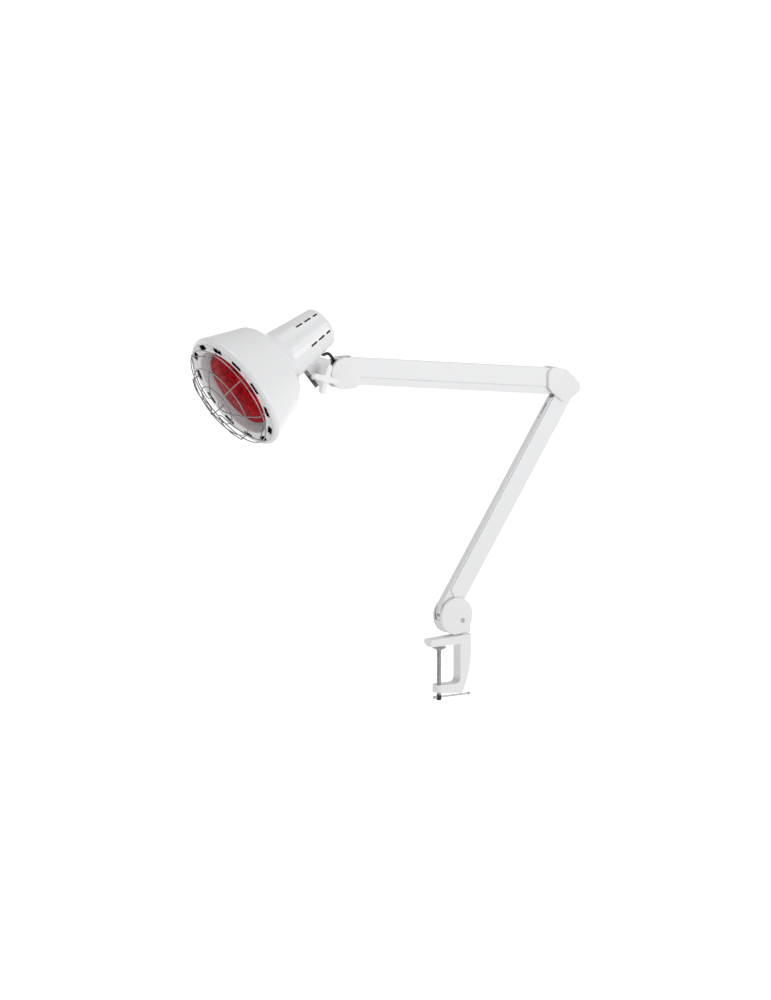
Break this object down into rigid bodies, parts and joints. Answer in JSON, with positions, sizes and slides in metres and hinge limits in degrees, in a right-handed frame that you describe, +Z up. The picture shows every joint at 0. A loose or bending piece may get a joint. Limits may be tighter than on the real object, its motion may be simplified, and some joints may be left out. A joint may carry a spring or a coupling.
{
  "type": "infrared heat therapy lamp",
  "caption": "Infrared heat therapy lamp: ventilated shade with red bulb and wire guard, tilting and swivelling on a two-section parallelogram arm with a screw table clamp.",
  "frame": {"origin": "where the axis of the clamp spindle meets the underside of the upper jaw, which rests on the table top", "axes": "+Z up; the arms and the lamp head lie in the XZ plane, the head towards -X and the clamp spine towards +X; -Y is the near side"},
  "size_m": [0.655, 0.1866, 0.6113],
  "materials": {
    "white_paint": "smooth white stoved enamel",
    "white_aluminium": "smooth white stoved enamel on spun or cast aluminium",
    "white_plastic": "glossy moulded plastic",
    "knob_plastic": "glossy moulded plastic",
    "cap_plastic": "matt moulded plastic",
    "black_plastic": "black moulded plastic",
    "red_glass": "deep red glass with a stippled lens",
    "lamp_cap": "nickel-plated brass",
    "porcelain": "glazed ceramic",
    "bright_steel": "bright nickel plate",
    "plain_steel": "zinc-plated steel",
    "dark_steel": "dark blued steel",
    "grey_cast": "light grey painted casting",
    "black_rubber": "black flexible PVC or fibre"
  },
  "bodies": {
    "clamp": {"clamp_frame": "white_paint", "swivel_bush": "white_plastic"},
    "pad": {"clamp_pad": "bright_steel"},
    "spindle": {"clamp_spindle": "bright_steel", "spindle_head": "dark_steel"},
    "bar": {"tommy_bar": "bright_steel"},
    "base": {"base_block": "white_aluminium", "base_cover_near": "white_plastic", "base_cover_far": "white_plastic", "base_cover_screw": "cap_plastic", "base_pivot_bolts": "plain_steel", "base_link_pins": "plain_steel", "base_spacers": "plain_steel"},
    "lower_arm": {"lower_outer_channel": "white_paint"},
    "lower_link": {"lower_inner_channel": "white_paint", "lower_spring_anchor": "plain_steel", "lower_spring": "plain_steel"},
    "elbow": {"elbow_block": "white_aluminium", "elbow_cover_near": "white_plastic", "elbow_cover_far": "white_plastic", "elbow_cover_screw": "cap_plastic", "elbow_pivot_bolts": "plain_steel", "elbow_link_pins": "plain_steel", "elbow_spacers": "plain_steel"},
    "upper_arm": {"upper_outer_channel": "white_paint"},
    "upper_link": {"upper_inner_channel": "white_paint", "upper_spring_anchor": "plain_steel", "upper_spring": "plain_steel"},
    "wrist": {"wrist_block": "white_aluminium", "wrist_cover_near": "white_plastic", "wrist_cover_far": "white_plastic", "wrist_cover_screw": "cap_plastic", "wrist_pivot_bolts": "plain_steel", "wrist_link_pins": "plain_steel", "wrist_spacers": "plain_steel"},
    "neck": {"neck": "grey_cast", "neck_retainer": "bright_steel"},
    "head": {"shade": "white_aluminium", "reflector": "white_aluminium", "lamp_glass": "red_glass", "lamp_base": "lamp_cap", "wire_guard": "bright_steel", "lampholder": "porcelain", "lampholder_bracket": "plain_steel", "terminal_block": "porcelain", "rear_cap": "white_plastic", "switch_body": "black_plastic", "switch_pin": "bright_steel", "tilt_bracket": "dark_steel", "tilt_bolt": "plain_steel", "friction_washers": "black_rubber", "bracket_screws": "bright_steel", "lead_grommet": "black_rubber", "head_lead": "black_rubber"},
    "knob": {"tilt_knob": "knob_plastic"},
    "rocker": {"switch_rocker": "black_plastic"}
  },
  "joints": [
    {"name": "pad_slide", "type": "slide", "parent": "clamp", "child": "pad", "axis": [0, 0, 1], "range_m": [-0.048, 0]},
    {"name": "spindle_turn", "type": "hinge", "parent": "pad", "child": "spindle", "pos_m": [0, 0, 0], "axis": [0, 0, 1], "continuous": true},
    {"name": "bar_slide", "type": "slide", "parent": "spindle", "child": "bar", "axis": [1, 0, 0], "range_m": [-0.045, 0]},
    {"name": "base_swivel", "type": "hinge", "parent": "clamp", "child": "base", "pos_m": [0.042, 0, 0.016], "axis": [0, 0, 1], "continuous": true},
    {"name": "lower_tilt", "type": "hinge", "parent": "base", "child": "lower_arm", "pos_m": [0.0177, 0, 0.0479], "axis": [0, 1, 0], "range_deg": [-33, 8]},
    {"name": "lower_link_turn", "type": "hinge", "parent": "base", "child": "lower_link", "pos_m": [0.00471, 0, 0.0404], "axis": [0, 1, 0], "range_deg": [-33, 8], "deforming": ["lower_spring"]},
    {"name": "elbow_level", "type": "hinge", "parent": "lower_arm", "child": "elbow", "pos_m": [0.23239, 0, 0.37349], "axis": [0, 1, 0], "range_deg": [-8, 33]},
    {"name": "upper_tilt", "type": "hinge", "parent": "elbow", "child": "upper_arm", "pos_m": [0.21319, 0, 0.39479], "axis": [0, 1, 0], "range_deg": [-12, 45]},
    {"name": "upper_link_turn", "type": "hinge", "parent": "elbow", "child": "upper_link", "pos_m": [0.21319, 0, 0.37979], "axis": [0, 1, 0], "range_deg": [-12, 45], "deforming": ["upper_spring"]},
    {"name": "wrist_level", "type": "hinge", "parent": "upper_arm", "child": "wrist", "pos_m": [-0.17115, 0, 0.44423], "axis": [0, 1, 0], "range_deg": [-45, 12]},
    {"name": "head_swivel", "type": "hinge", "parent": "wrist", "child": "neck", "pos_m": [-0.20265, 0, 0.42663], "axis": [0, 0, 1], "range_deg": [-28, 28]},
    {"name": "head_tilt", "type": "hinge", "parent": "neck", "child": "head", "pos_m": [-0.21565, 0, 0.42663], "axis": [0, 1, 0], "range_deg": [-60, 10], "deforming": ["head_lead"]},
    {"name": "knob_turn", "type": "hinge", "parent": "head", "child": "knob", "pos_m": [-0.21565, 0, 0.42663], "axis": [0, 1, 0], "continuous": true},
    {"name": "switch_rock", "type": "hinge", "parent": "head", "child": "rocker", "pos_m": [-0.20387, 0, 0.50286], "axis": [0, 1, 0], "range_deg": [-20, 0]}
  ],
  "couplings": [
    {"joint": "spindle_turn", "follows": "pad_slide", "rad_per_m": 5026.5},
    {"joint": "lower_link_turn", "follows": "lower_tilt", "ratio": 1},
    {"joint": "elbow_level", "follows": "lower_tilt", "ratio": -1},
    {"joint": "upper_link_turn", "follows": "upper_tilt", "ratio": 1},
    {"joint": "wrist_level", "follows": "upper_tilt", "ratio": -1}
  ]
}
